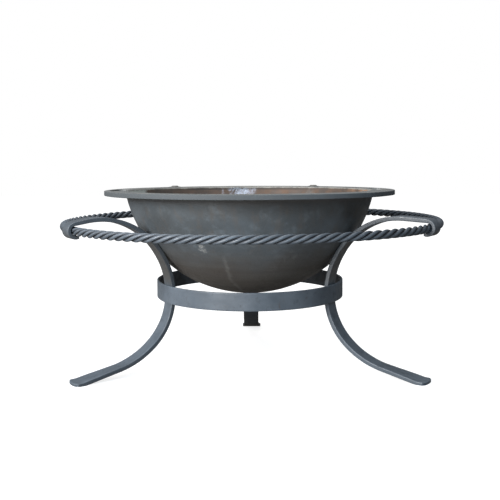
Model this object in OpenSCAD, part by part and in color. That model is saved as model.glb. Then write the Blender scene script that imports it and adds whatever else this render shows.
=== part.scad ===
// Cast fire bowl on a forged three-leg stand, with a loose fire grate inside.
// Units are millimetres. The origin is on the floor under the bowl's centre,
// +Z is up, the two front feet stand towards -Y and the third foot at +Y.

/* [Bowl] */
// Outer radius of the flat flange around the bowl
rim_r = 300; // [290:1:305]
// Height of the flange's top face above the floor
rim_top = 360; // [355:0.5:370]
// Thickness of the flange
rim_t = 10; // [8:0.5:12]
// Outer radius of the spherical bowl wall
dish_r = 262; // [258:1:262]
// Thickness of the bowl wall
dish_wall = 7; // [5:0.5:9]
// Radius of the flat spot under the bowl
base_r = 30; // [30:1:60]
// Length of each hand-hold slot in the flange, along its curve
slot_len = 120; // [80:1:130]
// Width of each hand-hold slot
slot_w = 30; // [20:1:30]
// Height of the two low cast lugs on the back of the flange
lug_h = 2.8; // [2:0.1:5]
// Direction of the right lug, counted from +X towards the back
lug_right_at = 58; // [40:1:75]
// Direction of the left lug, counted from +X towards the back
lug_left_at = 128; // [105:1:140]

/* [Stand] */
// Outer radius of the support band
band_r = 193.5; // [193.5:0.1:196]
// Thickness of the support band
band_t = 4; // [3:0.5:5]
// Height of the support band
band_h = 35; // [30:1:38]
// Height above the floor at which the legs stand upright inside the band
band_z = 155; // [150:1:160]
// How far the band's middle is above that height
band_rise = 2.7; // [0:0.1:2.7]
// Degrees the band leans, higher at the back
band_tilt = 0.95; // [0:0.05:0.95]
// Width of the flat bar of each leg
leg_w = 35; // [30:1:40]
// Thickness of the flat bar of each leg
leg_t = 8; // [6:0.5:9]
// Width of the forged foot at its tip
foot_w = 45; // [40:1:54]
// Angle of each front foot from straight back
leg_step = 120; // [120]
// Direction of the back foot, counted from +X
back_at = 89.4; // [89:0.1:91]
// Degrees left out of the left leg's arch, which raises its hook
left_ease = -2; // [-3:0.5:11]
// Degrees left out of the right leg's arch, which raises its hook
right_ease = 4.5; // [-3:0.5:11]
// Degrees left out of the back leg's arch, which raises its hook
back_ease = 9.5; // [-3:0.5:11]

/* [Twisted ring] */
// Radius of the ring's centre line
ring_r = 384; // [383:0.5:385]
// How far the ring sits to the right of the bowl's centre
ring_x = 4; // [0:0.5:5]
// Diameter of one strand of the twist
strand_d = 7; // [6:0.5:7]
// Full turns each strand makes around the ring
twist_turns = 29; // [20:1:36]

/* [Grate] */
// Radius of the grate hoop's centre line
hoop_r = 165; // [150:1:170]
// Diameter of the hoop's round bar
hoop_d = 12; // [10:1:14]
// Diameter of the grate bars
bar_d = 10; // [8:1:12]
// Centre distance between neighbouring grate bars
bar_pitch = 34; // [30:1:34]

/* [Hidden] */

cast_grey = [0.33, 0.36, 0.39];
iron_black = [0.22, 0.23, 0.25];
rust_brown = [0.36, 0.22, 0.15];

gap = 0.3;
rim_under = rim_top - rim_t;
// The bowl's centre of curvature, set so its wall just rests on the legs' upper curves
dish_z = 407.2;
dish_in = dish_r - dish_wall;

slot_r = 274;

leg_mid_r = 183;
leg_half = leg_t / 2;
band_back = 0.45;
foot_tip_r = 386;
foot_flare_from = 285;
curl_half = 3.2;
curl_inner = 9.5;
curl_r = curl_inner + curl_half;
arc_step = 4;

bars = 9;
hoop_reach = dish_in - hoop_d / 2 - gap;
hoop_z = dish_z - sqrt(hoop_reach * hoop_reach - hoop_r * hoop_r);
cross_x = 60;
cross_end_r = hoop_r - 13;

// ---- Bent-bar paths: each bend is [radius, sweep]; radius 0 is a straight ----

// Point reached after turning by a sweep (degrees) from point p and heading h
function turned(p, h, r, s) =
    p + r * sign(s) * [sin(h + s) - sin(h), cos(h) - cos(h + s)];

// Points [r, z, heading, half thickness] along one bend
function bend_points(p, h, r, s, t0, t1) =
    r == 0
    ? [[p.x + s * cos(h), p.y + s * sin(h), h, t1]]
    : let (n = ceil(abs(s) / arc_step))
      [for (i = [1 : n])
          let (q = turned(p, h, r, s * i / n))
          [q.x, q.y, h + s * i / n, t0 + (t1 - t0) * i / n]];

// Points along a list of bends, started at one point
function path_points(start, bends, k = 0) =
    k == len(bends)
    ? [start]
    : let (
          b = bends[k],
          more = bend_points([start[0], start[1]], start[2], b[0], b[1], start[3], b[2]),
          last = more[len(more) - 1]
      )
      concat([start], [for (i = [0 : 1 : len(more) - 2]) more[i]],
             path_points(last, bends, k + 1));

// Outline of a bar whose middle follows the path
function bar_outline(path) = concat(
    [for (q = path) [q[0] - q[3] * sin(q[2]), q[1] + q[3] * cos(q[2])]],
    [for (i = [len(path) - 1 : -1 : 0])
        let (q = path[i])
        [q[0] + q[3] * sin(q[2]), q[1] - q[3] * cos(q[2])]]
);

leg_start = [leg_mid_r, band_z];
// Bends from the band up over the arch; the run is the straight before the hook
function arch_bends(ease, run) = [
    [0, 2, leg_half],
    [148, -30, leg_half],
    [0, 5.5, leg_half],
    [148, ease - 68, leg_half],
    [0, run, leg_half - 0.3],
    [curl_r + 6, -20 - ease, curl_half]
];
hook_bend = [curl_r, -180, curl_half];
lower_bends = [
    [130, 45, leg_half],
    [164, 32, leg_half],
    [0, 67.5, 3.6],
    [60, 13, 3.1],
    [0, 10, 2.8]
];

// Distance out to the ring's centre line in one direction
function ring_out(angle) =
    ring_x * cos(angle) + sqrt(ring_r * ring_r - pow(ring_x * sin(angle), 2));

// Middle of the hook at the end of an arch
function hook_middle(ease, run) =
    let (
        path = path_points(concat(leg_start, [90, leg_half]), arch_bends(ease, run)),
        q = path[len(path) - 1]
    )
    [q[0] + curl_r * sin(q[2]), q[1] - curl_r * cos(q[2])];

// Straight that brings the hook's middle out to the ring
function arch_run(ease, angle) = (ring_out(angle) - hook_middle(ease, 0).x) / cos(ease - 8);

function hook_height(ease, angle) = hook_middle(ease, arch_run(ease, angle)).y;

// The ring lies low in the three hooks, so it leans as they do
ring_drop = 0.9;
left_hook = hook_height(left_ease, 90 + leg_step);
right_hook = hook_height(right_ease, 90 - leg_step);
back_hook = hook_height(back_ease, back_at);
ring_z = (left_hook + right_hook + back_hook) / 3 - ring_drop;
lean_x = (right_hook - left_hook) / (ring_r * sqrt(3));
lean_y = (back_hook - (left_hook + right_hook) / 2) / (ring_r * 1.5);

// ---- Bowl ----

module dish_solid(r, flat_z) {
    intersection() {
        translate([0, 0, dish_z]) sphere(r = r, $fn = 96);
        translate([0, 0, flat_z]) cylinder(r = rim_r, h = rim_top - flat_z, $fn = 96);
    }
}

module rim_profile() {
    // Flange with eased edges, drawn in the half plane right of the axis
    ease = 2.5;
    translate([200, 0]) square([rim_r - 200 - ease, rim_t]);
    translate([200, ease]) square([rim_r - 200, rim_t - 2 * ease]);
    translate([rim_r - ease, ease]) circle(r = ease, $fn = 24);
    translate([rim_r - ease, rim_t - ease]) circle(r = ease, $fn = 24);
}

module hand_slot() {
    // Curves with the flange and has round ends
    deep = rim_t + 10;
    turn = (slot_len - slot_w) / 2 / slot_r * 180 / PI;
    reach = rim_r + 20;
    translate([0, 0, rim_under - 5]) {
        intersection() {
            difference() {
                cylinder(r = slot_r + slot_w / 2, h = deep, $fn = 192);
                translate([0, 0, -1]) cylinder(r = slot_r - slot_w / 2, h = deep + 2, $fn = 192);
            }
            linear_extrude(height = deep)
                polygon([[0, 0], [reach, -reach * tan(turn)], [reach, reach * tan(turn)]]);
        }
        for (s = [-1, 1]) rotate([0, 0, s * turn]) translate([slot_r, 0, 0])
            cylinder(d = slot_w, h = deep, $fn = 48);
    }
}

module rim_lug() {
    translate([286, 0, rim_top - 1]) cylinder(d = 20, h = 1 + lug_h, $fn = 48);
}

module bowl() {
    color(cast_grey)
    difference() {
        union() {
            dish_solid(dish_r, dish_z - sqrt(dish_r * dish_r - base_r * base_r));
            translate([0, 0, rim_under]) rotate_extrude($fn = 96) rim_profile();
            for (a = [lug_right_at, lug_left_at]) rotate([0, 0, a]) rim_lug();
        }
        translate([0, 0, dish_z]) sphere(r = dish_in, $fn = 96);
        for (a = [0, 180]) rotate([0, 0, a]) hand_slot();
    }
}

// ---- Stand ----

// Puts things drawn about the band's middle in their place on the leaning band
module on_band() {
    translate([0, band_back, band_z + band_rise]) rotate([band_tilt, 0, 0]) children();
}

module support_band() {
    color(iron_black)
    on_band() difference() {
        cylinder(r = band_r, h = band_h, center = true, $fn = 96);
        cylinder(r = band_r - band_t, h = band_h + 2, center = true, $fn = 96);
    }
}

// Stands a side-view outline up as a bar of the given width, running out along +X
module stand_up(width) {
    translate([0, width / 2, 0]) rotate([90, 0, 0]) linear_extrude(height = width) children();
}

function flare_half(r) =
    let (k = min(1, max(0, (r - foot_flare_from) / (foot_tip_r - foot_flare_from - 6))))
    leg_w / 2 + (foot_w - leg_w) / 2 * k * k * (3 - 2 * k);

module foot_plan() {
    steps = 14;
    from_r = 150;
    tip_round = 62;
    intersection() {
        polygon(concat(
            [[from_r, -leg_w / 2]],
            [for (i = [0 : steps])
                let (r = foot_flare_from + (foot_tip_r + 4 - foot_flare_from) * i / steps)
                [r, -flare_half(r)]],
            [for (i = [steps : -1 : 0])
                let (r = foot_flare_from + (foot_tip_r + 4 - foot_flare_from) * i / steps)
                [r, flare_half(r)]],
            [[from_r, leg_w / 2]]
        ));
        union() {
            translate([foot_tip_r - tip_round, 0]) circle(r = tip_round, $fn = 96);
            translate([from_r - 5, -foot_w]) square([foot_tip_r - tip_round - from_r + 5, 2 * foot_w]);
        }
    }
}

module leg_blank(angle, ease) {
    bends = concat(arch_bends(ease, arch_run(ease, angle)), [hook_bend]);
    stand_up(leg_w)
        polygon(bar_outline(path_points(concat(leg_start, [90, leg_half]), bends)));
    intersection() {
        stand_up(foot_w + 4) intersection() {
            polygon(bar_outline(path_points(concat(leg_start, [-90, leg_half]), lower_bends)));
            square([500, band_z]);
        }
        linear_extrude(height = band_z) foot_plan();
    }
}

module leg_at(angle, ease) {
    color(iron_black) rotate([0, 0, angle]) leg_blank(angle, ease);
}

module leg_back() {
    leg_at(back_at, back_ease);
}

module leg_left() {
    leg_at(90 + leg_step, left_ease);
}

module leg_right() {
    leg_at(90 - leg_step, right_ease);
}

module weld_bead(angle, side) {
    // Runs up inside the band, in the corner beside the leg's edge
    bead = 1.8;
    run = band_h - 8;
    across = side * (leg_w / 2 + bead + 0.35) - band_back * cos(angle);
    reach = band_r - band_t - bead - 0.05;
    translate([sqrt(reach * reach - across * across), across, 0]) {
        cylinder(r = bead, h = run, center = true, $fn = 24);
        for (s = [-1, 1]) translate([0, 0, s * run / 2]) sphere(r = bead, $fn = 24);
    }
}

module band_welds() {
    color(iron_black)
    on_band() for (a = [back_at, 90 + leg_step, 90 - leg_step])
        rotate([0, 0, a]) for (s = [-1, 1]) weld_bead(a, s);
}

// ---- Twisted ring ----

module ring_strand(k) {
    per_turn = 9;
    sides = 6;
    rings = twist_turns * per_turn;
    reach = strand_d / 2 * sqrt(2) + 0.03;
    points = [for (i = [0 : rings - 1]) for (j = [0 : sides - 1])
        let (
            t = 360 * i / rings,
            w = twist_turns * t + 90 * k,
            c = 360 * j / sides + w,
            r = ring_r + reach * cos(w) + strand_d / 2 * cos(c),
            x = ring_x + r * cos(t),
            y = r * sin(t),
            lean = lean_x * x + lean_y * y
        )
        [x, y, ring_z + lean + reach * sin(w) + strand_d / 2 * sin(c)]];
    function slip(j) = j % sides;
    // After the last ring the section has turned by whole turns, so it closes on itself
    faces = [for (i = [0 : rings - 1]) for (j = [0 : sides - 1])
        let (
            a = i * sides + j,
            b = i * sides + slip(j + 1),
            n = ((i + 1) % rings) * sides,
            c = n + slip(j + 1),
            d = n + j
        )
        each [[a, b, c], [a, c, d]]];
    color(iron_black) polyhedron(points = points, faces = faces, convexity = 10);
}

// ---- Grate ----

module grate_hoop() {
    color(rust_brown)
    translate([0, 0, hoop_z])
    rotate_extrude($fn = 96) translate([hoop_r, 0]) circle(d = hoop_d, $fn = 32);
}

module grate_bar(i) {
    y = (i - (bars + 1) / 2) * bar_pitch;
    end_r = hoop_r - hoop_d / 2 - 0.4;
    // The end stops at the hoop where the bar's outer edge reaches it
    far = abs(y) + bar_d / 2;
    half = sqrt(end_r * end_r - far * far);
    color(rust_brown)
    translate([0, y, hoop_z]) rotate([0, 90, 0])
        cylinder(d = bar_d, h = 2 * half, center = true, $fn = 32);
}

module grate_cross(side) {
    half = sqrt(cross_end_r * cross_end_r - cross_x * cross_x);
    color(rust_brown)
    translate([side * cross_x, 0, hoop_z - bar_d - 0.1]) rotate([90, 0, 0])
        cylinder(d = bar_d, h = 2 * half, center = true, $fn = 32);
}

bowl();
support_band();
leg_left();
leg_right();
leg_back();
band_welds();
ring_strand(0);  // ring_strand_1
ring_strand(1);  // ring_strand_2
ring_strand(2);  // ring_strand_3
ring_strand(3);  // ring_strand_4
grate_hoop();
grate_bar(1);  // grate_bar_1
grate_bar(2);  // grate_bar_2
grate_bar(3);  // grate_bar_3
grate_bar(4);  // grate_bar_4
grate_bar(5);  // grate_bar_5
grate_bar(6);  // grate_bar_6
grate_bar(7);  // grate_bar_7
grate_bar(8);  // grate_bar_8
grate_bar(9);  // grate_bar_9
grate_cross(-1);  // grate_cross_left
grate_cross(1);  // grate_cross_right
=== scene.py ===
"""Looks of the fire pit: cast bowl, forged three-leg stand, rope-twist rail and fire grate.

Lengths are in metres in the CAD frame: origin on the floor under the bowl's centre,
+Z up, the two front feet towards -Y. The shapes that OpenSCAD drew plainly are drawn
again here with eased edges, forging and casting unevenness, and fine round sections.
"""

import math

import bpy
import numpy as np
from mathutils import Euler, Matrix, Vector, noise


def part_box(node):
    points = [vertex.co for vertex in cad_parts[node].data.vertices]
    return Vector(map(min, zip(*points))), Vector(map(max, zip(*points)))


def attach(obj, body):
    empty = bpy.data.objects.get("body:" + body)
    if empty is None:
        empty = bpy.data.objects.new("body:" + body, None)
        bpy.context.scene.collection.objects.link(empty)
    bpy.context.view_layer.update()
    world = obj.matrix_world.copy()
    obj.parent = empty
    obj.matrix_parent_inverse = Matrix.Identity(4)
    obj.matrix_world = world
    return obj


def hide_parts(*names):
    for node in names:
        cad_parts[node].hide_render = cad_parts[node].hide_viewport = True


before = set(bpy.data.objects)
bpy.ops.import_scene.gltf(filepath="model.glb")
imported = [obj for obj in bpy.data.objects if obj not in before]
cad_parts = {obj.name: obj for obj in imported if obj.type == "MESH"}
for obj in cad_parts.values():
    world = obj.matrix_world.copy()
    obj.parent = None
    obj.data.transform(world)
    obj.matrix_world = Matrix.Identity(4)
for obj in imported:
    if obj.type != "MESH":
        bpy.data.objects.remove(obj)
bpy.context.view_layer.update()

MM = 0.001
TAU = 2 * math.pi

# Sizes that the design fixes and a box can't give
LUG_H = 2.8 * MM
LUG_ANGLES, LUG_R = (58, 128), 286 * MM
RIM_T = 10 * MM
DISH_R = 262 * MM
DISH_WALL = 7 * MM
BASE_R = 30 * MM
SLOT_LEN, SLOT_W, SLOT_R = 120 * MM, 30 * MM, 274 * MM
BAND_R, BAND_T, BAND_H = 193.5 * MM, 4 * MM, 35 * MM
BAND_AT, BAND_TILT = (0, 0.45 * MM, 157.7 * MM), 0.95
LEG_W, LEG_T = 35 * MM, 8 * MM
LEG_MID_R, LEG_UPRIGHT_Z = 183 * MM, 155 * MM
FOOT_W, FOOT_FLARE_FROM, FOOT_TIP_R = 45 * MM, 285 * MM, 386 * MM
CURL_HALF, CURL_R = 3.2 * MM, 12.7 * MM
SIDE_R, SIDE_TURN = 148 * MM, 30
RING_R, RING_X, RING_DROP = 384 * MM, 4 * MM, 0.9 * MM
TWIST_TURNS = 29
BAR_D, HOOP_D, BARS = 10 * MM, 12 * MM, 9
LEG_ANGLES = {"leg_back": 89.4, "leg_left": 210, "leg_right": -30}
ARCH_EASE = {"leg_back": 9.5, "leg_left": -2, "leg_right": 4.5}
# Painted shade on each leg's narrow sides: how much under the band and up in the arch
SIDE_SHADE_PAINTED = {"leg_back": (0.5, 0.5), "leg_left": (0.78, 0.62), "leg_right": (0.35, 0.85)}

# Finish of the forged bar: rounded ends and corners, hammered dents, and a hair taken
# off, which keeps the legs inside the CAD's box
LEG_CAP, LEG_CORNER = 2.2 * MM, 1.1 * MM
DENT_DEEP, DENT_WAVE, DENT_WAVER, HAIR = 0.35 * MM, 0.12 * MM, 0.25 * MM, 0.02 * MM

bowl_lo, bowl_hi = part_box("bowl")
RIM_R = bowl_hi.x
RIM_TOP = bowl_hi.z - LUG_H
DISH_Z = bowl_lo.z + math.sqrt(DISH_R**2 - BASE_R**2)
DISH_IN = DISH_R - DISH_WALL

hoop_lo, hoop_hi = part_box("grate_hoop")
HOOP_R = hoop_hi.x - HOOP_D / 2
HOOP_Z = (hoop_lo.z + hoop_hi.z) / 2


# ---------------------------------------------------------------- mesh helpers


def make_piece(name, verts, faces, body, replaces=(), sharp=50):
    """A smooth-shaded mesh object that rides on a body and stands for CAD nodes."""
    mesh = bpy.data.meshes.new(name)
    mesh.from_pydata([tuple(v) for v in verts], [], faces)
    mesh.validate()
    obj = bpy.data.objects.new(name, mesh)
    bpy.context.scene.collection.objects.link(obj)
    smooth(mesh, sharp)
    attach(obj, body)
    if replaces:
        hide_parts(*replaces)
    return obj


def smooth(mesh, sharp=50):
    mesh.polygons.foreach_set("use_smooth", [True] * len(mesh.polygons))
    mesh.set_sharp_from_angle(angle=math.radians(sharp))


def grid_faces(rows, cols, close_rows=False, close_cols=True, first=0):
    """Quads between neighbouring rows of points."""
    faces = []
    for i in range(rows if close_rows else rows - 1):
        a, b = first + i * cols, first + ((i + 1) % rows) * cols
        for j in range(cols if close_cols else cols - 1):
            k = (j + 1) % cols
            faces.append((a + j, a + k, b + k, b + j))
    return faces


def tube_faces(rows, cols, first=0):
    """A closed-section tube with an n-gon at each end."""
    faces = grid_faces(rows, cols, first=first)
    faces.append(tuple(first + j for j in reversed(range(cols))))
    faces.append(tuple(first + (rows - 1) * cols + j for j in range(cols)))
    return faces


def arc(cx, cy, r, start, end, n):
    """Points on an arc, angles in degrees, both ends included."""
    return [
        (cx + r * math.cos(math.radians(a)), cy + r * math.sin(math.radians(a)))
        for a in np.linspace(start, end, n)
    ]


def line(p, q, n):
    """Points after p up to and including q."""
    return [(p[0] + (q[0] - p[0]) * i / n, p[1] + (q[1] - p[1]) * i / n) for i in range(1, n + 1)]


def turned(verts, degrees):
    """Points turned about the vertical axis."""
    c, s = math.cos(math.radians(degrees)), math.sin(math.radians(degrees))
    v = np.asarray(verts, float)
    return np.stack([v[:, 0] * c - v[:, 1] * s, v[:, 0] * s + v[:, 1] * c, v[:, 2]], axis=1)


def uneven(point, scale, seed):
    """Smooth unevenness between -1 and 1 at a place, with features 1/scale metres across."""
    return noise.noise(Vector((point[0] * scale + seed, point[1] * scale, point[2] * scale)))


def rounded_section(half_w, half_t, corner, per_side, per_end=2, per_corner=4):
    """Outline of a bar's section, anticlockwise, as (across, through) pairs."""
    points = []
    for sx, sy, start in ((1, 1, 0), (-1, 1, 90), (-1, -1, 180), (1, -1, 270)):
        points += arc(
            sx * (half_w - corner), sy * (half_t - corner), corner, start, start + 90, per_corner
        )
        x, y = points[-1]
        if sx == sy:
            points += line((x, y), (-x, y), per_side + 1)[:-1]
        else:
            points += line((x, y), (x, -y), per_end + 1)[:-1]
    return points


def round_cap(radius, steps=5):
    """(place along, shrink) pairs that round off the start of a bar."""
    return [
        (radius * (1 - math.sin(a)), radius * (1 - math.cos(a)))
        for a in np.linspace(math.pi / 2, 0, steps + 1)[1:]
    ]


# ------------------------------------------------------------------------ bowl

NECK_FILLET = 5 * MM
LIP_ROUND = 4 * MM
RIM_EASE = 1.5 * MM
BOWL_STEPS = 480


def bowl_profile():
    """The casting's section from under its middle, out round the flange, to inside."""
    under = RIM_TOP - RIM_T
    centre = (0, DISH_Z)

    neck_z = under - NECK_FILLET
    neck_r = math.sqrt((DISH_R + NECK_FILLET) ** 2 - (neck_z - DISH_Z) ** 2)
    neck_angle = math.degrees(math.atan2(neck_z - DISH_Z, neck_r))

    lip_z = RIM_TOP - LIP_ROUND
    lip_r = math.sqrt((DISH_IN + LIP_ROUND) ** 2 - (lip_z - DISH_Z) ** 2)
    lip_angle = math.degrees(math.atan2(lip_z - DISH_Z, lip_r))

    base_z = bowl_lo.z
    base_angle = math.degrees(math.atan2(base_z - DISH_Z, BASE_R))
    edge = RIM_R - RIM_EASE

    points = [(4 * MM, base_z)] + line((4 * MM, base_z), (BASE_R - 3 * MM, base_z), 4)
    points += arc(*centre, DISH_R, base_angle + 0.6, neck_angle, 44)
    points += arc(neck_r, neck_z, NECK_FILLET, 180 + neck_angle, 90, 9)[1:]
    points += line(points[-1], (edge, under), 7)
    points += arc(edge, under + RIM_EASE, RIM_EASE, -90, 0, 6)[1:]
    points += line(points[-1], (RIM_R, RIM_TOP - RIM_EASE), 3)
    points += arc(edge, RIM_TOP - RIM_EASE, RIM_EASE, 0, 90, 6)[1:]
    points += line(points[-1], (lip_r, RIM_TOP), 8)
    points += arc(lip_r, lip_z, LIP_ROUND, 90, 180 + lip_angle, 9)[1:]
    points += arc(*centre, DISH_IN, lip_angle, -89.2, 46)[1:]
    return points


def cast_surface(v):
    """A casting is never true: broad waves and a fine orange-peel, never outwards."""
    broad = uneven(v, 9, 3.1) + 0.5 * uneven(v, 26, 7.7)
    fine = uneven(v, 120, 1.3)
    return (0.22 * (broad - 1.5) + 0.06 * (fine - 1)) * MM


def revolve(profile, steps, wobble=None):
    """Rows run along the profile, columns round the axis."""
    verts = []
    angles = [TAU * j / steps for j in range(steps)]
    n = len(profile)
    for i, (r, z) in enumerate(profile):
        before, after = profile[max(i - 1, 0)], profile[min(i + 1, n - 1)]
        out = Vector((after[1] - before[1], -(after[0] - before[0])))
        out.normalize()
        for a in angles:
            v = Vector((r * math.cos(a), r * math.sin(a), z))
            if wobble:
                d = wobble(v)
                v += d * Vector((out.x * math.cos(a), out.x * math.sin(a), out.y))
            verts.append(v)
    return verts


def slot_outline(grow, steps=14):
    """Outline of the right hand-hold slot, curved with the flange, grown by a margin."""
    turn = math.degrees((SLOT_LEN - SLOT_W) / 2 / SLOT_R)
    half = SLOT_W / 2 + grow
    tip = math.radians(turn)
    x, y = SLOT_R * math.cos(tip), SLOT_R * math.sin(tip)
    outline = arc(0, 0, SLOT_R + half, -turn, turn, steps)[:-1]
    outline += arc(x, y, half, turn, turn + 180, steps)[:-1]
    outline += arc(0, 0, SLOT_R - half, turn, -turn, steps)[:-1]
    outline += arc(x, -y, half, 180 - turn, 360 - turn, steps)[:-1]
    return outline


def slot_cutter():
    """Cuts a slot whose edges are rounded over at the flange's two faces."""
    ease = 0.9 * MM
    mid, half = RIM_TOP - RIM_T / 2, RIM_T / 2
    rows = []
    for k in range(7):
        a = math.radians(90 * k / 6)
        rows.append((mid + half + 0.1 * MM - ease * math.sin(a), ease * (1 - math.sin(a)) ** 0.9))
    rows = [(mid + half + 6 * MM, ease), (mid + half + 0.1 * MM, ease)] + rows[1:]
    rows += [(2 * mid - z, g) for z, g in reversed(rows)]
    verts, faces = [], []
    for side in (1, -1):
        first = len(verts)
        for z, grow in rows:
            ring = slot_outline(grow)
            verts += [(side * x, side * y, z) for x, y in ring]
        cols = len(ring)
        faces += [tuple(reversed(f)) for f in tube_faces(len(rows), cols, first)]
    mesh = bpy.data.meshes.new("slot_cutter")
    mesh.from_pydata(verts, [], faces)
    cutter = bpy.data.objects.new("slot_cutter", mesh)
    bpy.context.scene.collection.objects.link(cutter)
    return cutter


def cut(obj, cutter):
    """Takes the cutter out of the object's mesh, for good."""
    mod = obj.modifiers.new("cut", "BOOLEAN")
    mod.object, mod.operation, mod.solver = cutter, "DIFFERENCE", "EXACT"
    graph = bpy.context.evaluated_depsgraph_get()
    mesh = bpy.data.meshes.new_from_object(obj.evaluated_get(graph))
    obj.modifiers.clear()
    obj.data = mesh
    bpy.data.objects.remove(cutter)


def lug_mesh(angle, first):
    """A low cast boss on the flange, on a wide soft foot."""
    # (share of the spread, share of the height)
    profile = [(0, 1), (0.30, 1), (0.40, 0.95), (0.46, 0.78), (0.51, 0.52), (0.57, 0.36)]
    profile += [(0.68, 0.27), (0.82, 0.17), (0.93, 0.06), (1.0, -0.1)]
    radial, tangential, cols = 12.5 * MM, 17 * MM, 48
    verts = [(LUG_R, 0, RIM_TOP + LUG_H * 0.98)]
    for s, h in profile[1:]:
        for j in range(cols):
            a = TAU * j / cols
            z = RIM_TOP - 0.25 * MM + (LUG_H + 0.2 * MM) * h
            verts.append((LUG_R + radial * s * math.cos(a), tangential * s * math.sin(a), z))
    faces = [(first, first + 1 + j, first + 1 + (j + 1) % cols) for j in range(cols)]
    faces += [tuple(reversed(f)) for f in grid_faces(len(profile) - 1, cols, first=first + 1)]
    return [Vector(v) for v in turned(verts, angle)], faces


def build_bowl():
    profile = bowl_profile()
    verts = revolve(profile, BOWL_STEPS, cast_surface)
    rows = len(profile)
    faces = grid_faces(rows, BOWL_STEPS)
    faces.append(tuple(reversed(range(BOWL_STEPS))))
    faces.append(tuple((rows - 1) * BOWL_STEPS + j for j in range(BOWL_STEPS)))
    faces = [tuple(reversed(f)) for f in faces]
    bowl = make_piece("bowl_casting", verts, faces, "bowl", ["bowl"])
    cut(bowl, slot_cutter())
    join_lugs(bowl)
    smooth(bowl.data, 40)
    return bowl


def join_lugs(bowl):
    """Adds the lugs to the casting's own mesh."""
    mesh = bowl.data
    verts = [v.co.copy() for v in mesh.vertices]
    faces = [tuple(p.vertices) for p in mesh.polygons]
    for angle in LUG_ANGLES:
        more, more_faces = lug_mesh(angle, len(verts))
        verts += more
        faces += more_faces
    joined = bpy.data.meshes.new("bowl_casting")
    joined.from_pydata(verts, [], faces)
    bowl.data = joined


# ----------------------------------------------------------------------- stand


def bend_points(x, z, heading, bends, half, step):
    """Stations (x, z, heading, half thickness) along arcs and straights, as in the CAD."""
    stations = [(x, z, heading, half)]
    for radius, sweep, new_half in bends:
        length = sweep * MM if radius == 0 else abs(math.radians(sweep)) * radius
        n = max(2, math.ceil(length / step))
        x, z, heading, half = stations[-1]
        h0 = math.radians(heading)
        for i in range(1, n + 1):
            t = half + (new_half - half) * i / n
            if radius == 0:
                d = length * i / n
                stations.append((x + d * math.cos(h0), z + d * math.sin(h0), heading, t))
                continue
            h = h0 + math.radians(sweep) * i / n
            k = math.copysign(radius, sweep)
            stations.append(
                (
                    x + k * (math.sin(h) - math.sin(h0)),
                    z + k * (math.cos(h0) - math.cos(h)),
                    math.degrees(h),
                    t,
                )
            )
    return stations


def arch_bends(ease, run):
    """Bends from the band up over the arch; the run is the straight before the hook.

    Each is (radius, degrees, half thickness at its end). A radius of 0 is a straight,
    with its length in millimetres in place of degrees.
    """
    half = LEG_T / 2
    return [
        (0, 2, half),
        (SIDE_R, -SIDE_TURN, half),
        (0, 5.5, half),
        (SIDE_R, ease - 68, half),
        (0, run, half - 0.3 * MM),
        (CURL_R + 6 * MM, -20 - ease, CURL_HALF),
    ]


def hook_middle(ease, run):
    path = bend_points(LEG_MID_R, LEG_UPRIGHT_Z, 90, arch_bends(ease, run), LEG_T / 2, 3 * MM)
    x, z, heading, _ = path[-1]
    h = math.radians(heading)
    return x + CURL_R * math.sin(h), z - CURL_R * math.cos(h)


def arch_run(name):
    """Straight that brings a leg's hook out to the ring, in millimetres."""
    ease, a = ARCH_EASE[name], math.radians(LEG_ANGLES[name])
    out = RING_X * math.cos(a) + math.sqrt(RING_R**2 - (RING_X * math.sin(a)) ** 2)
    return (out - hook_middle(ease, 0)[0]) / math.cos(math.radians(ease - 8)) / MM


def ring_lean():
    """Height of the ring's middle and its slope along X and Y, lying in the hooks."""
    left, right, back = (
        hook_middle(ARCH_EASE[name], arch_run(name))[1]
        for name in ("leg_left", "leg_right", "leg_back")
    )
    height = (left + right + back) / 3 - RING_DROP
    return height, (right - left) / (RING_R * 3**0.5), (back - (left + right) / 2) / (RING_R * 1.5)


def leg_path(name):
    """The whole bar from the tip of its foot to the end of its curl."""
    half = LEG_T / 2
    lower = [
        (130 * MM, 45, half),
        (164 * MM, 32, half),
        (0, 67.5, 3.6 * MM),
        (60 * MM, 13, 3.1 * MM),
        (0, 10, 2.8 * MM),
    ]
    upper = arch_bends(ARCH_EASE[name], arch_run(name))
    up = bend_points(LEG_MID_R, LEG_UPRIGHT_Z, 90, upper[:5], half, 3 * MM)
    curl = [upper[5], (CURL_R, -180, CURL_HALF)]
    curl = bend_points(*up[-1][:3], curl, up[-1][3], 1.2 * MM)
    down = bend_points(LEG_MID_R, LEG_UPRIGHT_Z, -90, lower, half, 2.5 * MM)
    down = [(x, z, h + 180, t) for x, z, h, t in reversed(down)]
    return down[:-1] + up + curl[1:]


def foot_half_width(x):
    k = min(1, max(0, (x - FOOT_FLARE_FROM) / (FOOT_TIP_R - FOOT_FLARE_FROM - 6 * MM)))
    return LEG_W / 2 + (FOOT_W - LEG_W) / 2 * k * k * (3 - 2 * k)


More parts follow.
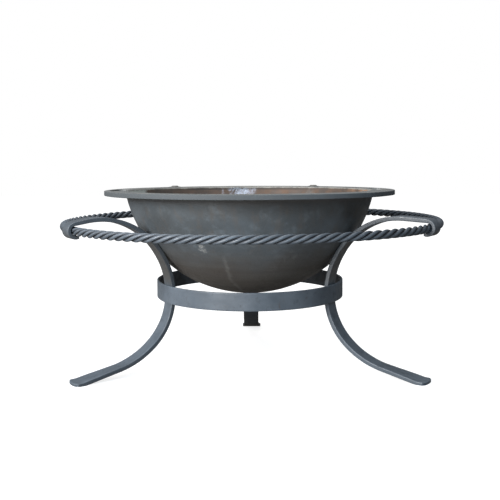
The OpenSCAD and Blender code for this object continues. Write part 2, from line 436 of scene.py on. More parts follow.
def leg_mesh(name, seed):
    """A rounded flat bar swept along its bends, spread and rounded off at the foot."""
    path = leg_path(name)
    along = np.concatenate(
        [[0], np.cumsum([math.dist(path[i][:2], path[i - 1][:2]) for i in range(1, len(path))])]
    )
    total = along[-1]

    def station(s):
        s = min(max(s, 0), total)
        i = min(int(np.searchsorted(along, s, side="right")) - 1, len(path) - 2)
        f = (s - along[i]) / (along[i + 1] - along[i])
        a, b = path[i], path[i + 1]
        return [a[k] + (b[k] - a[k]) * f for k in range(4)]

    caps = round_cap(LEG_CAP)
    rows = [(s, shrink) for s, shrink in caps]
    foot_zone = 60 * MM
    past_cap = LEG_CAP + 0.4 * MM
    rows += [(s, 0) for s in along if past_cap < s < total - past_cap]
    rows += [(total - s, shrink) for s, shrink in reversed(caps)]

    verts = []
    for s, shrink in rows:
        x, z, _, half_t = station(s)
        wide = (foot_half_width(x) if z < LEG_UPRIGHT_Z * 0.6 else LEG_W / 2) - shrink
        thick = half_t - min(shrink, half_t * 0.6)
        shape = rounded_section(wide, thick, min(LEG_CORNER, thick * 0.8), 9, 3)
        cols = len(shape)
        for u, w in shape:
            # the foot's end is an arc with soft corners, so the rows bow near it
            reach = 0
            if s < foot_zone:
                bow = 4.1 * MM * (u / wide) ** 2 + 3.0 * MM * abs(u / wide) ** 14
                reach = bow * (1 - s / foot_zone) ** 1.5
            x, z, h, _ = station(s + reach)
            place = (x, u, z)
            dent = min(0, uneven(place, 34, seed)) * DENT_DEEP + uneven(place, 9, seed) * DENT_WAVE
            dent -= HAIR
            w += math.copysign(dent, w) * min(1, abs(w) / thick)
            u += uneven(place, 16, seed + 5) * DENT_WAVER - math.copysign(0.05 * MM, u)
            hr = math.radians(h)
            vx, vz = x - w * math.sin(hr), z + w * math.cos(hr)
            verts.append((vx, u, max(vz, 0.0)))
    faces = tube_faces(len(rows), cols)
    return verts, faces


def build_legs():
    legs = []
    for k, (name, angle) in enumerate(LEG_ANGLES.items()):
        verts, faces = leg_mesh(name, 11.0 + 4.3 * k)
        verts = turned(verts, angle)
        legs.append(make_piece(name + "_bar", verts, faces, "stand", [name], 42))
    return legs


def on_band(verts):
    """Points drawn about the band's middle, put in their place on the leaning band."""
    lean = Euler((math.radians(BAND_TILT), 0, 0)).to_matrix()
    return [lean @ Vector(v) + Vector(BAND_AT) for v in verts]


def build_band():
    """Rolled flat bar, eased along its edges and closed by a dressed butt weld."""
    steps = 400
    seam = math.radians(238)
    section = rounded_section(BAND_H / 2, BAND_T / 2, 0.9 * MM, 12)
    mid = BAND_R - BAND_T / 2
    verts = []
    for j in range(steps):
        a = TAU * j / steps
        for across, through in section:
            place = (mid * math.cos(a), mid * math.sin(a), across)
            d = (uneven(place, 11, 40) - 1) * 0.12 * MM + (uneven(place, 45, 41) - 1) * 0.05 * MM
            near = (a - seam) * mid
            weld = 0.25 * MM * math.exp(-((near / (2.2 * MM)) ** 2))
            through += math.copysign(d + (weld if through < 0 else 0), through)
            r = mid + through
            across += uneven(place, 6, 44) * 0.2 * MM * (across / (BAND_H / 2))
            verts.append((r * math.cos(a), r * math.sin(a), across))
    faces = grid_faces(steps, len(section), close_rows=True)
    return make_piece(
        "support_band_bar", on_band(verts), faces, "stand", ["support_band"], 42
    )


def bead_mesh(base, length, radius, first, seed, pitch=2.3 * MM, sides=12):
    """An upright weld bead: overlapping ripples, fatter in the middle of each."""
    count = max(3, round(length / pitch))
    steps = count * 6
    verts = []
    for i in range(steps + 1):
        t = i / steps
        ripple = 0.78 + 0.22 * abs(math.sin(math.pi * count * t + 0.4))
        ends = math.sqrt(max(0.02, 1 - abs(2 * t - 1) ** 9))
        wander = noise.noise(Vector((seed, t * count * 0.5, 0))) * 0.12
        for j in range(sides):
            a = TAU * j / sides
            lag = 0.5 * pitch * math.cos(a) * 0.4
            r = radius * ripple * ends * (1 + wander)
            verts.append(
                (
                    base[0] + r * math.cos(a),
                    base[1] + r * math.sin(a),
                    base[2] + (t - 0.5) * length + lag * ends,
                )
            )
    return verts, tube_faces(steps + 1, sides, first)


def build_welds():
    """Beads up both edges of each leg, inside the band."""
    bead = 2.0 * MM
    off = LEG_W / 2 + 1.6 * MM
    reach = BAND_R - BAND_T - 1.4 * MM
    verts, faces = [], []
    for k, angle in enumerate(LEG_ANGLES.values()):
        for side in (1, -1):
            base = (math.sqrt(reach**2 - off**2), side * off, 0)
            v, f = bead_mesh(base, BAND_H - 5 * MM, bead, len(verts), 3.7 * k + side)
            verts += on_band(turned(v, angle))
            faces += f
    return make_piece(
        "band_weld_beads", verts, faces, "stand", ["band_welds"], 60
    )


# ---------------------------------------------------------------- twisted ring


RING_Z, LEAN_X, LEAN_Y = ring_lean()


def strand_mesh(phase, seed):
    """One round bar of the left-handed rope, its section square to its own run."""
    per_turn, sides = 32, 14
    radius, orbit = 3.46 * MM, 4.98 * MM
    tighter, tighter_left = 0.10 * MM, 0.45 * MM
    steps = TWIST_TURNS * per_turn
    verts = []
    for i in range(steps):
        t = TAU * i / steps
        drift = 0.10 * math.sin(3 * t + 1.0) + 0.07 * math.sin(7 * t + 2.2)
        w = TWIST_TURNS * t + phase + drift
        out = Vector((math.cos(t), math.sin(t), 0))
        ahead = Vector((-math.sin(t), math.cos(t), 0))
        up = Vector((0, 0, 1))
        side = out * math.cos(w) + up * math.sin(w)
        # tighter than RING_R, most at the left, so that no crest leaves the CAD's box
        bend_r = RING_R - tighter - tighter_left * max(0, -math.cos(t)) ** 2
        centre = out * bend_r + Vector((RING_X, 0, RING_Z)) + side * orbit
        spin = -out * math.sin(w) + up * math.cos(w)
        run = ahead * (bend_r + orbit * math.cos(w)) + spin * (orbit * TWIST_TURNS)
        run.normalize()
        across = run.cross(side).normalized()
        r = radius * (1 + 0.012 * noise.noise(Vector((t * 9, seed, 0))))
        for j in range(sides):
            a = TAU * j / sides
            v = centre + side * (r * math.cos(a)) + across * (r * math.sin(a))
            v.z += LEAN_X * v.x + LEAN_Y * v.y
            verts.append(v)
    return verts, grid_faces(steps, sides, close_rows=True)


def build_ring():
    strands = []
    for k in range(4):
        verts, faces = strand_mesh(k * TAU / 4, 5.0 * k)
        node = f"ring_strand_{k + 1}"
        strands.append(
            make_piece(node + "_round", verts, faces, "stand", [node])
        )
    return strands


# ----------------------------------------------------------------------- grate


def round_bar(start, end, radius, seed, sag=0.0, sides=20, step=4 * MM):
    """A slightly burnt and bent round bar with chamfered ends."""
    start, end = Vector(start), Vector(end)
    run = end - start
    length = run.length
    run.normalize()
    side = run.cross(Vector((0, 0, 1))).normalized()
    up = side.cross(run).normalized()
    ease = 1.2 * MM
    ends = [(0, ease), (ease * 0.4, ease * 0.35), (ease, 0)]
    n = max(2, round((length - 2 * ease) / step))
    places = [(s, k) for s, k in ends]
    places += [(ease + (length - 2 * ease) * i / n, 0) for i in range(1, n)]
    places += [(length - s, k) for s, k in reversed(ends)]
    verts = []
    for s, shrink in places:
        centre = start + run * s - up * (sag * math.sin(math.pi * s / length))
        for j in range(sides):
            a = TAU * j / sides
            spot = side * math.cos(a) + up * math.sin(a)
            scale = uneven(centre + spot * radius, 60, seed) * 0.25 - 0.25
            verts.append(centre + spot * (radius - shrink + scale * MM))
    return verts, tube_faces(len(places), sides)


def build_grate():
    pieces = []
    steps, sides = 300, 20
    verts = []
    for i in range(steps):
        t = TAU * i / steps
        out = Vector((math.cos(t), math.sin(t), 0))
        for j in range(sides):
            a = TAU * j / sides
            spot = out * math.cos(a) + Vector((0, 0, math.sin(a)))
            centre = out * HOOP_R + Vector((0, 0, HOOP_Z))
            r = HOOP_D / 2 + (uneven(centre + spot * 0.006, 50, 71) * 0.25 - 0.25) * MM
            verts.append(centre + spot * r)
    faces = [tuple(reversed(f)) for f in grid_faces(steps, sides, close_rows=True)]
    pieces.append(
        make_piece("grate_hoop_bar", verts, faces, "grate", ["grate_hoop"])
    )

    names = [f"grate_bar_{i}" for i in range(1, BARS + 1)]
    names += ["grate_cross_left", "grate_cross_right"]
    for k, name in enumerate(names):
        lo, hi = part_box(name)
        mid = (lo + hi) / 2
        along = Vector((1, 0, 0)) if hi.x - lo.x > hi.y - lo.y else Vector((0, 1, 0))
        half = (hi - lo).dot(along) / 2
        sag = (0.9 if k < BARS else 0.5) * MM
        verts, faces = round_bar(
            mid - along * half, mid + along * half, BAR_D / 2, 80 + 3 * k, sag
        )
        pieces.append(make_piece(name + "_round", verts, faces, "grate", [name]))
    pieces.append(build_grate_welds())
    return pieces


def blob(centre, size, first, seed, rings=8, sides=14):
    """A weld tack: a squat lumpy dome."""
    verts = [Vector(centre) + Vector((0, 0, -size[2]))]
    for i in range(1, rings):
        p = math.pi * i / rings - math.pi / 2
        for j in range(sides):
            a = TAU * j / sides
            spot = Vector((math.cos(p) * math.cos(a), math.cos(p) * math.sin(a), math.sin(p)))
            lump = 1 + 0.16 * noise.noise(spot * 1.9 + Vector((seed, 0, 0)))
            verts.append(
                Vector(centre)
                + Vector((spot.x * size[0], spot.y * size[1], spot.z * size[2])) * lump
            )
    verts.append(Vector(centre) + Vector((0, 0, size[2])))
    faces = [(first, first + 1 + (j + 1) % sides, first + 1 + j) for j in range(sides)]
    faces += grid_faces(rings - 1, sides, first=first + 1)
    last = first + 1 + (rings - 2) * sides
    top = first + len(verts) - 1
    faces += [(top, last + j, last + (j + 1) % sides) for j in range(sides)]
    return verts, faces


def build_grate_welds():
    """Tacks where the bars meet the hoop and cross the two under bars."""
    verts, faces = [], []
    seed = 0
    cross_reach = 135 * MM
    for i in range(1, BARS + 1):
        lo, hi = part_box(f"grate_bar_{i}")
        y = (lo.y + hi.y) / 2
        for side in (-1, 1):
            x = side * math.sqrt((HOOP_R - HOOP_D / 2 + 0.6 * MM) ** 2 - y**2)
            spots = [((x, y, HOOP_Z + 1.0 * MM), (3.6 * MM, 5.2 * MM, 4.2 * MM))]
            cross_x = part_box("grate_cross_right")[0].x + BAR_D / 2
            if hi.x > cross_x and abs(y) < cross_reach:
                spots.append(
                    (
                        (side * cross_x + 4.2 * MM, y, HOOP_Z - 5.6 * MM),
                        (2.6 * MM, 4.0 * MM, 2.6 * MM),
                    )
                )
            for centre, size in spots:
                seed += 1.7
                v, f = blob(centre, size, len(verts), seed)
                verts += v
                faces += f
    return make_piece("grate_weld_tacks", verts, faces, "grate", [], 80)


# ------------------------------------------------------------------- materials


class Shader:
    """A few short words for building a node tree."""

    def __init__(self, name):
        self.material = bpy.data.materials.new(name)
        self.material.use_nodes = True
        self.tree = self.material.node_tree
        self.tree.nodes.clear()
        self.output = self.tree.nodes.new("ShaderNodeOutputMaterial")
        self.surface = self.tree.nodes.new("ShaderNodeBsdfPrincipled")
        self.tree.links.new(self.surface.outputs["BSDF"], self.output.inputs["Surface"])
        self.place = self.add("TexCoord").outputs["Object"]

    def add(self, kind, **props):
        node = self.tree.nodes.new("ShaderNode" + kind)
        for key, value in props.items():
            setattr(node, key, value)
        return node

    def feed(self, socket, value):
        if isinstance(value, bpy.types.NodeSocket):
            self.tree.links.new(value, socket)
        else:
            socket.default_value = value

    def stretched(self, x, y, z, turn=0.0):
        node = self.add("Mapping")
        self.feed(node.inputs["Vector"], self.place)
        node.inputs["Scale"].default_value = (x, y, z)
        node.inputs["Rotation"].default_value = (0, 0, turn)
        return node.outputs["Vector"]

    def noise(self, scale, detail=4, rough=0.55, distortion=0.0, at=None):
        node = self.add("TexNoise")
        self.feed(node.inputs["Vector"], at or self.place)
        node.inputs["Scale"].default_value = scale
        node.inputs["Detail"].default_value = detail
        node.inputs["Roughness"].default_value = rough
        node.inputs["Distortion"].default_value = distortion
        return node.outputs["Fac"]

    def cells(self, scale, at=None, feature="F1"):
        node = self.add("TexVoronoi", feature=feature)
        self.feed(node.inputs["Vector"], at or self.place)
        node.inputs["Scale"].default_value = scale
        return node.outputs["Distance"]

    def window(self, value, low, high, to_low=0.0, to_high=1.0):
        """Smoothly maps low..high onto to_low..to_high."""
        node = self.add("MapRange", interpolation_type="SMOOTHSTEP")
        self.feed(node.inputs["Value"], value)
        for name, v in (
            ("From Min", low),
            ("From Max", high),
            ("To Min", to_low),
            ("To Max", to_high),
        ):
            node.inputs[name].default_value = v
        return node.outputs["Result"]

    def math(self, operation, a, b=0.0, c=0.0):
        node = self.add("Math", operation=operation)
        for socket, value in zip(node.inputs, (a, b, c)):
            self.feed(socket, value)
        return node.outputs[0]

    def times(self, a, b):
        return self.math("MULTIPLY", a, b)

    def plus(self, a, b):
        return self.math("ADD", a, b)

    def minus(self, a, b):
        return self.math("SUBTRACT", a, b)

    def size_of(self, a):
        return self.math("ABSOLUTE", a)

    def mix(self, factor, a, b):
        node = self.add("Mix", data_type="RGBA")
        self.feed(node.inputs["Factor"], factor)
        for socket, value in ((node.inputs[6], a), (node.inputs[7], b)):
            self.feed(socket, value if isinstance(value, bpy.types.NodeSocket) else (*value, 1.0))
        return node.outputs[2]

    def blend(self, factor, a, b):
        node = self.add("Mix", data_type="FLOAT")
        self.feed(node.inputs["Factor"], factor)
        self.feed(node.inputs[2], a)
        self.feed(node.inputs[3], b)
        return node.outputs[0]

    def axis(self, name):
        node = self.add("SeparateXYZ")
        self.feed(node.inputs[0], self.place)
        return node.outputs[name]

    def facing(self, direction):
        """How squarely the surface faces a direction, from -1 to 1."""
        node = self.add("VectorMath", operation="DOT_PRODUCT")
        self.feed(node.inputs[0], self.add("NewGeometry").outputs["Normal"])
        node.inputs[1].default_value = direction
        return node.outputs["Value"]

    def distance_from(self, point):
        node = self.add("VectorMath", operation="DISTANCE")
        self.feed(node.inputs[0], self.place)
        node.inputs[1].default_value = point
        return node.outputs["Value"]

    def along_arc(self, start, end, centre):
        """How far off a mark drawn from start to end on a ball, and how far from its middle."""
        start, end, centre = Vector(start), Vector(end), Vector(centre)
        middle, run = (start + end) / 2, (end - start).normalized()
        offset = self.add("VectorMath", operation="SUBTRACT")
        self.feed(offset.inputs[0], self.place)
        offset.inputs[1].default_value = middle
        out = []
        for direction in (run.cross(middle - centre).normalized(), run):
            dot = self.add("VectorMath", operation="DOT_PRODUCT")
            self.feed(dot.inputs[0], offset.outputs["Vector"])
            dot.inputs[1].default_value = direction
            out.append(dot.outputs["Value"])
        return out

    def from_ring_line(self):
        """Distance from the twisted ring's centre line."""
        x, y, z = (self.axis(k) for k in "XYZ")
        lean = self.times(x, LEAN_X)
        z = self.minus(z, self.math("MULTIPLY_ADD", y, LEAN_Y, lean))
        x = self.minus(x, RING_X)
        x, y = self.times(x, x), self.times(y, y)
        out = self.minus(self.math("SQRT", self.plus(x, y)), RING_R)
        rise = self.minus(z, RING_Z)
        out, rise = self.times(out, out), self.times(rise, rise)
        return self.math("SQRT", self.plus(out, rise))

    def bump(self, height, distance, strength=1.0, over=None):
        node = self.add("Bump")
        node.inputs["Distance"].default_value = distance
        node.inputs["Strength"].default_value = strength
        self.feed(node.inputs["Height"], height)
        if over is not None:
            self.feed(node.inputs["Normal"], over)
        return node.outputs["Normal"]

    def finish(self, colour, roughness, normal, metallic=0.0, specular=0.5):
        self.feed(self.surface.inputs["Base Color"], colour)
        self.feed(self.surface.inputs["Roughness"], roughness)
        self.feed(self.surface.inputs["Normal"], normal)
        self.surface.inputs["Metallic"].default_value = metallic
        self.surface.inputs["Specular IOR Level"].default_value = specular
        return self.material


# Marks on the bowl, as places in the frame
KNOCK_AT = (-0.090, -0.194, 0.256)
RUB_FROM, RUB_TO = (-0.050, -0.196, 0.240), (-0.014, -0.071, 0.155)
GLOSS_AT = (-0.016, 0.246, 0.343)

# Heights between which stains come on, in metres
BROWN_HIGH, BROWN_LOW = 0.372, 0.268
SOOT_HIGH, SOOT_LOW = 0.325, 0.235

# Base colours, linear
GROOVE_SHADE = (0.008, 0.010, 0.014)
EDGE_WORN = (0.16, 0.172, 0.185)
SMOKED = (0.047, 0.044, 0.039)
SLATE = (0.070, 0.083, 0.094)
SLATE_LIGHT = (0.106, 0.127, 0.144)
SLATE_DARK_AND_SHADE = (0.044, 0.050, 0.054)
STEEL_BLUE = (0.052, 0.065, 0.080)
STEEL_BLUE_LIGHT = (0.079, 0.096, 0.116)
STEEL_BLUE_DARK_AND_SHADE = (0.024, 0.030, 0.037)
UMBER = (0.072, 0.063, 0.055)
UMBER_PALE = (0.092, 0.088, 0.081)
CHALK = (0.30, 0.30, 0.29)
DUST = (0.155, 0.155, 0.147)
LIP_WORN = (0.20, 0.19, 0.17)
RUST = (0.092, 0.056, 0.037)
RUST_DARK = (0.046, 0.034, 0.027)
RUST_ORANGE = (0.27, 0.150, 0.088)
ASH = (0.20, 0.195, 0.175)
PALE_ASH_AND_PAINTED_LIGHT = (0.50, 0.515, 0.46)
LIME_AND_REFLECTION = (0.30, 0.31, 0.37)
SOOT_AND_SHADE = (0.020, 0.018, 0.017)
LUG_BROWN = (0.075, 0.066, 0.055)
CHARRED = (0.030, 0.024, 0.021)


def bowl_material():
    """Slate-grey casting outside, rusted and burnt inside."""
    s = Shader("cast_bowl_slate_and_rust")
    cloud = s.noise(7, 5, 0.6)
    mottle = s.noise(38, 6, 0.62)
    grain = s.noise(420, 3, 0.6)
    height = s.axis("Z")
    under = RIM_TOP - RIM_T

    # outside: mottled slate, turning brown towards the bottom
    outside = s.mix(s.window(cloud, 0.34, 0.68), SLATE_DARK_AND_SHADE, SLATE)
    outside = s.mix(s.window(mottle, 0.50, 0.74, 0, 0.5), outside, SLATE_LIGHT)
    under_rim = s.plus(height, s.times(mottle, 0.012))
    under_rim = s.times(
        s.window(under_rim, under - 9.5 * MM, under + 3.5 * MM),
        s.window(height, under + 1 * MM, under - 1 * MM),
    )
    tide = s.noise(1, 3, 0.55, 0.3, at=s.stretched(2.2, 2.2, 62))
    low = s.plus(s.times(cloud, 0.11), s.times(tide, 0.06))
    low = s.window(s.plus(height, low), BROWN_HIGH, BROWN_LOW)
    runs = s.window(s.noise(5, 4, 0.6, at=s.stretched(16, 16, 1.1)), 0.48, 0.70)
    stain = s.math("MAXIMUM", s.times(under_rim, 0.45), s.times(low, 0.9))
    stain = s.math("MAXIMUM", stain, s.times(runs, 0.4))
    outside = s.mix(stain, outside, UMBER)
    tide = s.times(s.window(tide, 0.44, 0.62, 0, 0.5), s.window(height, 0.26, 0.225))
    outside = s.mix(tide, outside, UMBER_PALE)

    # scuffs, thickest beside one chalky knock, and a long diagonal rub mark
    chalk = s.noise(30, 9, 0.78, 0.9)
    scuffed = s.window(height, 0.285, 0.235)
    scuffed = s.times(scuffed, s.window(s.noise(5.5, 3, 0.5), 0.46, 0.62))
    scuffs = s.times(s.window(chalk, 0.50, 0.70, 0, 0.42), scuffed)
    knock = s.plus(s.distance_from(KNOCK_AT), s.times(chalk, 0.09))
    knock = s.window(knock, 0.056, 0.042)
    knock = s.times(knock, s.window(s.noise(160, 5, 0.7), 0.42, 0.58, 0.15, 0.95))
    across, along = s.along_arc(RUB_FROM, RUB_TO, (0, 0, DISH_Z))
    across = s.plus(across, s.times(s.minus(mottle, 0.5), 0.020))
    across, along = s.size_of(across), s.size_of(along)
    rub = s.times(s.window(across, 0.0060, 0.0010), s.window(along, 0.082, 0.060))
    rub = s.times(rub, s.window(chalk, 0.30, 0.62, 0.05, 0.20))
    rub = s.times(rub, s.window(s.axis("Y"), 0.0, -0.05))
    marks = s.math("MAXIMUM", s.math("MAXIMUM", scuffs, knock), rub)
    outside = s.mix(marks, outside, CHALK)

    # dust on the flange, painted shade on the rim edge, dusty slots, and worn paint round the lip
    up = s.window(height, RIM_TOP - 1.4 * MM, RIM_TOP - 0.3 * MM)
    up = s.times(up, s.window(s.facing((0, 0, 1)), 0.35, 0.85))
    dust = s.times(up, s.window(mottle, 0.30, 0.66, 0.35, 0.95))
    dust = s.times(dust, s.window(s.axis("Y"), 0.08, 0.22, 1, 0.55))
    outside = s.mix(dust, outside, DUST)
    out = s.plus(s.math("POWER", s.axis("X"), 2), s.math("POWER", s.axis("Y"), 2))
    out = s.math("SQRT", out)
    # painted shade along the rounded rim edge, heaviest at the left where the light falls on it
    edge = s.window(out, RIM_R - 2.6 * MM, RIM_R - 1.2 * MM)
    edge = s.times(edge, s.window(s.axis("X"), -0.05, 0.20, 0.82, 0.42))
    outside = s.mix(edge, outside, SLATE_DARK_AND_SHADE)
    out = s.size_of(s.minus(out, SLOT_R))
    in_slot = s.window(out, SLOT_W / 2 + 1.2 * MM, SLOT_W / 2 + 0.6 * MM)
    ends = s.window(s.size_of(s.axis("Y")), SLOT_LEN / 2 + 2 * MM, SLOT_LEN / 2)
    in_slot = s.times(s.times(in_slot, ends), s.minus(1.0, up))
    outside = s.mix(s.times(in_slot, 0.85), outside, DUST)
    for angle in LUG_ANGLES:
        a = math.radians(angle)
        lug = s.distance_from((LUG_R * math.cos(a), LUG_R * math.sin(a), RIM_TOP + LUG_H))
        outside = s.mix(s.window(lug, 13 * MM, 8 * MM, 0, 0.85), outside, LUG_BROWN)
    lip_wear = s.window(s.distance_from((0, 0, DISH_Z)), DISH_IN + 3.6 * MM, DISH_IN + 1 * MM)
    lip_wear = s.times(lip_wear, s.window(mottle, 0.25, 0.6, 0.45, 1))
    outside = s.mix(lip_wear, outside, LIP_WORN)

    # inside: brown rust, orange where it is fresh at the right
    inside = s.mix(s.window(mottle, 0.35, 0.65), RUST_DARK, RUST)
    fresh = s.times(s.window(cloud, 0.46, 0.66), s.window(s.axis("X"), 0.02, 0.24, 0.12, 0.9))
    inside = s.mix(fresh, inside, RUST_ORANGE)
    # ashy patches right of the middle, duller left of it, and a pale ashen patch at the far left
    # that is partly painted light
    ashy = s.times(s.window(s.noise(11, 6, 0.65, 0.5), 0.52, 0.66), 0.5)
    ashy = s.times(ashy, s.window(s.axis("X"), -0.07, 0.0))
    inside = s.mix(ashy, inside, ASH)
    pale = s.plus(s.axis("X"), s.times(mottle, 0.05))
    dull = s.times(s.window(pale, 0.0, -0.06), s.window(pale, -0.20, -0.16))
    inside = s.mix(s.times(dull, 0.5), inside, RUST_DARK)
    inside = s.mix(s.window(s.axis("X"), -0.15, -0.20, 0, 0.10), inside, ASH)
    # pale ashen patch at the far left, partly painted light on the shaded inner wall
    at_left = s.plus(s.axis("X"), s.times(mottle, 0.012))
    ash_and_painted_light = s.window(at_left, -0.2175, -0.2265, 0, 0.85)
    ash_and_painted_light = s.times(ash_and_painted_light, s.window(height, 0.30, 0.335))
    inside = s.mix(ash_and_painted_light, inside, PALE_ASH_AND_PAINTED_LIGHT)
    # a painted shadow line just under the lip, and soot low down
    line = s.times(s.window(height, RIM_TOP - 8.5 * MM, RIM_TOP - 7 * MM), 0.65)
    line = s.times(line, s.window(s.axis("X"), 0.16, 0.10))
    line = s.times(line, s.window(s.axis("X"), -0.18, -0.12))
    soot = s.plus(height, s.times(cloud, 0.09))
    inside = s.mix(s.window(soot, SOOT_HIGH, SOOT_LOW, 0, 0.88), inside, SOOT_AND_SHADE)

    reach = s.distance_from((0, 0, DISH_Z))
    wander = s.times(s.minus(mottle, 0.5), 0.006)
    is_inside = s.window(s.plus(reach, wander), DISH_IN + 3.5 * MM, DISH_IN + 1.5 * MM)
    # a limescale streak on the back wall, its pale blue partly a painted reflection of the front
    # light; it is glossier there too
    gloss = s.minus(s.noise(26, 7, 0.7, 1.4, at=s.stretched(1, 1, 0.45)), 0.5)
    gloss = s.plus(s.distance_from(GLOSS_AT), s.times(gloss, 0.16))
    gloss = s.window(gloss, 0.043, 0.022)
    lime_and_painted_reflection = s.times(gloss, s.window(chalk, 0.36, 0.62, 0.2, 0.85))
    inside = s.mix(lime_and_painted_reflection, inside, LIME_AND_REFLECTION)
    # painted shadow line under the lip
    inside = s.mix(line, inside, SOOT_AND_SHADE)
    lip = s.plus(height, wander)
    is_inside = s.times(is_inside, s.window(lip, RIM_TOP - 2.4 * MM, RIM_TOP - 4.2 * MM))
    colour = s.mix(is_inside, outside, inside)

    rough_in = s.blend(gloss, s.window(mottle, 0.3, 0.7, 0.58, 0.82), 0.22)
    rough_out = s.blend(edge, s.window(mottle, 0.3, 0.75, 0.40, 0.60), 0.8)
    roughness = s.blend(is_inside, rough_out, rough_in)

    normal = s.bump(grain, 0.00035, 0.55)
    normal = s.bump(s.noise(110, 4, 0.6), 0.0008, 0.5, over=normal)
    pits = s.window(s.cells(150), 0.02, 0.22)
    normal = s.bump(pits, 0.0004, 0.35, over=normal)
    scale = s.times(s.noise(60, 7, 0.7), is_inside)
    normal = s.bump(scale, 0.0016, 0.6, over=normal)
    return s.finish(colour, roughness, normal)


def forged_material(name, seed, rope=False, sides=None):
    """Blue-grey stove paint over hammered bar, thin and lighter along the edges.

    The rope has painted shade in its grooves and towards the right. A leg is dulled by smoke
    above the band and has painted shade towards the back; sides gives the way its narrow
    sides face and how much painted shade they get under the band and up in the arch.
    """
    s = Shader(name)
    at = s.add("Mapping")
    s.feed(at.inputs["Vector"], s.place)
    at.inputs["Location"].default_value = (seed, seed * 0.7, 0)
    at = at.outputs["Vector"]
    cloud = s.noise(12, 5, 0.6, at=at)
    mottle = s.noise(75, 6, 0.65, at=at)
    grain = s.noise(650, 3, 0.6, at=at)
    colour = s.mix(s.window(cloud, 0.32, 0.70), STEEL_BLUE, STEEL_BLUE_LIGHT)
    colour = s.mix(s.window(mottle, 0.54, 0.74, 0, 0.6), colour, STEEL_BLUE_DARK_AND_SHADE)
    edge = s.window(s.add("NewGeometry").outputs["Pointiness"], 0.515, 0.60)
    edge = s.times(edge, s.window(mottle, 0.36, 0.60, 0.05, 0.35))
    colour = s.mix(edge, colour, EDGE_WORN)
    if sides:
        smoke = s.plus(s.axis("Z"), s.times(mottle, 0.02))
        high = s.window(smoke, 0.310, 0.265, 0.25, 1)
        smoke = s.times(s.window(smoke, 0.165, 0.205, 0, 0.8), high)
        colour = s.mix(smoke, colour, SMOKED)
        way, (under_band, in_arch) = sides
        # painted shade on the narrow sides of a leg
        narrow = s.window(s.size_of(s.facing(way)), 0.60, 0.90)
        painted_side_shade = s.window(s.axis("Z"), 0.14, 0.27, under_band, in_arch)
        colour = s.mix(s.times(narrow, painted_side_shade), colour, STEEL_BLUE_DARK_AND_SHADE)
        # painted shade on the leg that stands back under the bowl
        colour = s.mix(s.window(s.axis("Y"), 0.10, 0.18, 0, 0.5), colour, SOOT_AND_SHADE)
    rust = s.times(s.window(s.noise(30, 7, 0.72, 0.6, at=at), 0.63, 0.72), 0.55)
    colour = s.mix(rust, colour, RUST_DARK)
    roughness = s.window(mottle, 0.3, 0.75, 0.34, 0.54)
    if rope:
        # painted shade on the rope, growing towards the right, away from the light
        shade = s.window(s.axis("X"), -0.10, 0.26, 0.10, 0.55)
        colour = s.mix(shade, colour, STEEL_BLUE_DARK_AND_SHADE)
        # painted shade down in the grooves between the strands, which are also rougher there
        painted_groove_shade = s.window(s.from_ring_line(), 8.0 * MM, 6.0 * MM)
        colour = s.mix(s.times(painted_groove_shade, 0.95), colour, GROOVE_SHADE)
        roughness = s.blend(painted_groove_shade, roughness, 0.75)
    normal = s.bump(grain, 0.0003, 0.3)
    normal = s.bump(s.noise(140, 4, 0.6, at=at), 0.0006, 0.28, over=normal)
    dents = s.window(s.cells(52, at=at, feature="SMOOTH_F1"), 0.0, 0.6)
    normal = s.bump(dents, 0.0012, 0.2, over=normal)
    return s.finish(colour, roughness, normal)


def grate_material():
    """Burnt iron: flaking red-brown scale over black."""
    s = Shader("grate_burnt_iron")
    flakes = s.noise(90, 8, 0.7, 0.4)
    cloud = s.noise(18, 5, 0.6)
    colour = s.mix(s.window(flakes, 0.42, 0.60), CHARRED, RUST_DARK)
    colour = s.mix(s.window(cloud, 0.52, 0.70, 0, 0.8), colour, RUST)
    colour = s.mix(s.window(s.noise(200, 4, 0.6), 0.62, 0.75, 0, 0.5), colour, ASH)
    roughness = s.window(flakes, 0.3, 0.7, 0.62, 0.86)
    normal = s.bump(flakes, 0.0007, 0.7)
    normal = s.bump(s.noise(520, 3, 0.6), 0.0003, 0.5, over=normal)
    return s.finish(colour, roughness, normal)


def dress(pieces, material):
    for piece in pieces:
        piece.data.materials.clear()
        piece.data.materials.append(material)


# ------------------------------------------------------- floor, light, camera


def camera_only(tree, seen, unseen):
    """Mixes two shaders: one for what the camera sees, one for the light it sends about."""
    path = tree.nodes.new("ShaderNodeLightPath")
    mix = tree.nodes.new("ShaderNodeMixShader")
    tree.links.new(path.outputs["Is Camera Ray"], mix.inputs["Fac"])
    tree.links.new(unseen, mix.inputs[1])
    tree.links.new(seen, mix.inputs[2])
    return mix.outputs[0]


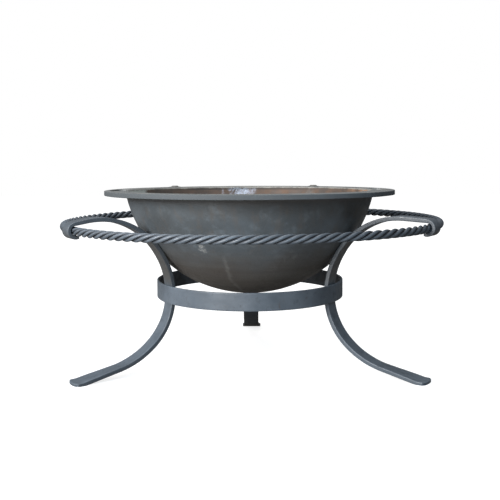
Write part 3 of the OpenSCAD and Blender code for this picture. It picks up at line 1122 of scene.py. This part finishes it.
def floor_material():
    """White paper to the camera; a mid-grey ground to everything else."""
    material = bpy.data.materials.new("floor_white")
    material.use_nodes = True
    tree = material.node_tree
    tree.nodes.clear()
    output = tree.nodes.new("ShaderNodeOutputMaterial")
    paper = tree.nodes.new("ShaderNodeBsdfDiffuse")
    paper.inputs["Color"].default_value = (*FLOOR_PAPER, 1)
    glow = tree.nodes.new("ShaderNodeEmission")
    glow.inputs["Color"].default_value = (1, 1, 1, 1)
    place = tree.nodes.new("ShaderNodeTexCoord")
    away = tree.nodes.new("ShaderNodeVectorMath")
    away.operation = "LENGTH"
    tree.links.new(place.outputs["Object"], away.inputs[0])
    brighten = tree.nodes.new("ShaderNodeMapRange")
    brighten.interpolation_type = "SMOOTHSTEP"
    tree.links.new(away.outputs["Value"], brighten.inputs["Value"])
    for name, value in (
        ("From Min", GLOW_NEAR),
        ("From Max", GLOW_FAR),
        ("To Min", FLOOR_GLOW),
        ("To Max", 1.0),
    ):
        brighten.inputs[name].default_value = value
    tree.links.new(brighten.outputs["Result"], glow.inputs["Strength"])
    lit = tree.nodes.new("ShaderNodeAddShader")
    tree.links.new(paper.outputs[0], lit.inputs[0])
    tree.links.new(glow.outputs[0], lit.inputs[1])
    ground = tree.nodes.new("ShaderNodeBsdfDiffuse")
    ground.inputs["Color"].default_value = (*FLOOR_GROUND, 1)
    tree.links.new(camera_only(tree, lit.outputs[0], ground.outputs[0]), output.inputs["Surface"])
    return material


def studio_world():
    """White behind the object; dimmer, and darker behind and to the right, for its light."""
    world = bpy.data.worlds.new("studio")
    world.use_nodes = True
    tree = world.node_tree
    tree.nodes.clear()
    output = tree.nodes.new("ShaderNodeOutputWorld")
    white = tree.nodes.new("ShaderNodeBackground")
    white.inputs["Color"].default_value = (1, 1, 1, 1)
    white.inputs["Strength"].default_value = 1.0
    dim = tree.nodes.new("ShaderNodeBackground")
    dim.inputs["Color"].default_value = (*ROOM_TINT, 1)
    dim.inputs["Strength"].default_value = ROOM_LIGHT
    tree.links.new(camera_only(tree, white.outputs[0], dim.outputs[0]), output.inputs["Surface"])
    return world


def plane(name, corners, material):
    mesh = bpy.data.meshes.new(name)
    mesh.from_pydata(corners, [], [(0, 1, 2, 3)])
    obj = bpy.data.objects.new(name, mesh)
    bpy.context.scene.collection.objects.link(obj)
    mesh.materials.append(material)
    return obj


def area_light(name, place, aim, size, power, colour):
    data = bpy.data.lights.new(name, "AREA")
    data.shape, data.size, data.size_y = "RECTANGLE", size[0], size[1]
    data.energy, data.color = power, colour
    lamp = bpy.data.objects.new(name, data)
    bpy.context.scene.collection.objects.link(lamp)
    lamp.visible_camera = False
    lamp.location = place
    lamp.rotation_euler = (Vector(aim) - Vector(place)).to_track_quat("-Z", "Y").to_euler()
    return lamp


FLOOR_PAPER = (0.4, 0.4, 0.4)
FLOOR_GLOW, GLOW_NEAR, GLOW_FAR, FLOOR_HALF = 0.8, 0.4, 1.8, 9.0
FLOOR_GROUND = (0.16, 0.15, 0.14)
ROOM_TINT = (0.94, 0.97, 1.0)
ROOM_LIGHT = 0.22
WARM, NEUTRAL, SKY = (1.0, 0.97, 0.93), (1, 1, 1), (0.62, 0.82, 1.0)


def build_stage():
    corners = [(x * FLOOR_HALF, y * FLOOR_HALF, 0) for x, y in ((-1, -1), (1, -1), (1, 1), (-1, 1))]
    plane("floor", corners, floor_material())
    middle = (0, 0, 0.2)
    area_light("overhead", (-0.5, 0.4, 3.0), (0, 0, 0), (2.4, 2.4), 60, NEUTRAL)
    area_light("key_left", (-1.95, -2.52, 1.25), middle, (1.4, 1.2), 190, NEUTRAL)
    area_light("floor_bounce", (-0.9, -2.3, 0.15), middle, (1.8, 0.4), 16, NEUTRAL)
    area_light("edge_left", (-3.2, 0.1, 1.0), middle, (1.2, 1.6), 24, WARM)
    area_light("sky_front", (0.4, -3.2, 2.15), (0, 0.1, 0.3), (1.3, 0.7), 62, SKY)
    bpy.context.scene.world = studio_world()
    bpy.context.scene.view_settings.view_transform = "Standard"


CAMERA_ASIDE = 0.9 * MM
CAMERA_BACK = 1747 * MM
CAMERA_UP = 414 * MM
CAMERA_TILT = 0.045
CAMERA_ROLL = -0.004
CAMERA_SHIFT = -0.0975
SENSOR_MM = 36
FRAME_PX = 500
LENS_PX = 835.9  # focal length in widths of a pixel, FRAME_PX to the frame


def build_camera():
    data = bpy.data.cameras.new("camera")
    data.sensor_width = SENSOR_MM
    data.lens = LENS_PX / FRAME_PX * SENSOR_MM
    data.shift_y = CAMERA_SHIFT
    camera = bpy.data.objects.new("camera", data)
    bpy.context.scene.collection.objects.link(camera)
    camera.location = (CAMERA_ASIDE, -CAMERA_BACK, CAMERA_UP)
    look = Euler((math.pi / 2 - CAMERA_TILT, 0, 0)).to_matrix()
    roll = Euler((0, 0, CAMERA_ROLL)).to_matrix()
    camera.rotation_euler = (look @ roll).to_euler()
    bpy.context.scene.camera = camera


# ------------------------------------------------------------------- the build

build_camera()
bowl = build_bowl()
legs = build_legs()
band = build_band()
welds = build_welds()
ring = build_ring()
grate = build_grate()

dress([bowl], bowl_material())
for k, (leg, name) in enumerate(zip(legs, LEG_ANGLES)):
    a = math.radians(LEG_ANGLES[name])
    sides = ((-math.sin(a), math.cos(a), 0), SIDE_SHADE_PAINTED[name])
    dress([leg], forged_material(f"forged_{name}", 1.3 * k, sides=sides))
dress([band, welds], forged_material("forged_band", 5.1))
for k, strand in enumerate(ring):
    dress([strand], forged_material(f"forged_strand_{k + 1}", 7.7 + 0.9 * k, rope=True))
dress(grate, grate_material())

build_stage()
